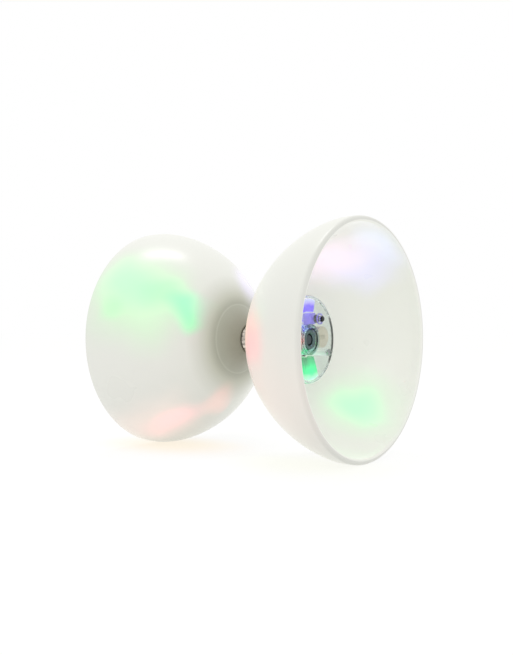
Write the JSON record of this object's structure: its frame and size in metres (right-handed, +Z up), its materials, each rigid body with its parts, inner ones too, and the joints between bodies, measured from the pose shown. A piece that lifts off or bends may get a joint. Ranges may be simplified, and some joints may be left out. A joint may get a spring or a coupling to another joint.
{
  "type": "diabolo",
  "caption": "Light-up diabolo (Chinese yo-yo): frosted cups on one axle, a string sleeve on ball bearings between them, and a clear light module in each cup.",
  "frame": {"origin": "middle of the axle, half way between the cups", "axes": "+X along the axle, out of the right cup; +Z up as the part lies on its side; +Y across"},
  "size_m": [0.142, 0.125, 0.125],
  "materials": {
    "frosted_plastic": "frosted translucent soft plastic, lit from inside",
    "clear_plastic": "clear, polished",
    "clear_base_plastic": "clear, slightly milky",
    "nickel_plate": "bright nickel plate",
    "hub_alloy": "turned",
    "axle_steel": "turned, zinc plated",
    "bearing_steel": "ground",
    "ball_steel": "polished balls in a pressed cage",
    "nut_zinc": "zinc plated",
    "screw_zinc": "zinc plated",
    "cell_steel": "satin nickel-plated steel",
    "contact_brass": "spring brass strip",
    "circuit_board": "pale laminate",
    "led_blue": "clear resin, lit blue-violet",
    "led_red": "clear resin, lit red",
    "led_green": "clear resin, lit green",
    "switch_case": "plain",
    "button_black": "plain black"
  },
  "bodies": {
    "rotor": {"axle": "axle_steel", "right_cup": "frosted_plastic", "right_hub_bush": "hub_alloy", "right_inner_race": "bearing_steel", "right_axle_washer": "nut_zinc", "right_axle_nut": "nut_zinc", "right_light_tray": "clear_base_plastic", "right_light_cover": "clear_plastic", "right_circuit_board": "circuit_board", "right_led_blue": "led_blue", "right_led_red": "led_red", "right_led_green": "led_green", "right_cell_1": "cell_steel", "right_cell_2": "cell_steel", "right_cell_3": "cell_steel", "right_cell_contact": "contact_brass", "right_contact_strap": "contact_brass", "right_switch_body": "switch_case", "right_cover_screw_1": "screw_zinc", "right_cover_screw_2": "screw_zinc", "right_cover_screw_3": "screw_zinc", "left_cup": "frosted_plastic", "left_hub_bush": "hub_alloy", "left_inner_race": "bearing_steel", "left_axle_washer": "nut_zinc", "left_axle_nut": "nut_zinc", "left_light_tray": "clear_base_plastic", "left_light_cover": "clear_plastic", "left_circuit_board": "circuit_board", "left_led_blue": "led_blue", "left_led_red": "led_red", "left_led_green": "led_green", "left_cell_1": "cell_steel", "left_cell_2": "cell_steel", "left_cell_3": "cell_steel", "left_cell_contact": "contact_brass", "left_contact_strap": "contact_brass", "left_switch_body": "switch_case", "left_cover_screw_1": "screw_zinc", "left_cover_screw_2": "screw_zinc", "left_cover_screw_3": "screw_zinc"},
    "string_sleeve": {"string_sleeve": "nickel_plate", "right_outer_race": "bearing_steel", "left_outer_race": "bearing_steel"},
    "right_ball_cage": {"right_ball_cage": "ball_steel"},
    "right_switch_button": {"right_switch_button": "button_black"},
    "left_ball_cage": {"left_ball_cage": "ball_steel"},
    "left_switch_button": {"left_switch_button": "button_black"}
  },
  "joints": [
    {"name": "sleeve_spin", "type": "hinge", "parent": "rotor", "child": "string_sleeve", "pos_m": [0, 0, 0], "axis": [1, 0, 0], "continuous": true},
    {"name": "right_cage_spin", "type": "hinge", "parent": "rotor", "child": "right_ball_cage", "pos_m": [0, 0, 0], "axis": [1, 0, 0], "continuous": true},
    {"name": "right_button_press", "type": "slide", "parent": "rotor", "child": "right_switch_button", "axis": [-1, 0, 0], "range_m": [0, 0.001], "stiffness_N_per_m": 600},
    {"name": "left_cage_spin", "type": "hinge", "parent": "rotor", "child": "left_ball_cage", "pos_m": [0, 0, 0], "axis": [1, 0, 0], "continuous": true},
    {"name": "left_button_press", "type": "slide", "parent": "rotor", "child": "left_switch_button", "axis": [1, 0, 0], "range_m": [0, 0.001], "stiffness_N_per_m": 600}
  ],
  "couplings": [
    {"joint": "right_cage_spin", "follows": "sleeve_spin", "ratio": 0.5774},
    {"joint": "left_cage_spin", "follows": "sleeve_spin", "ratio": 0.5774}
  ]
}
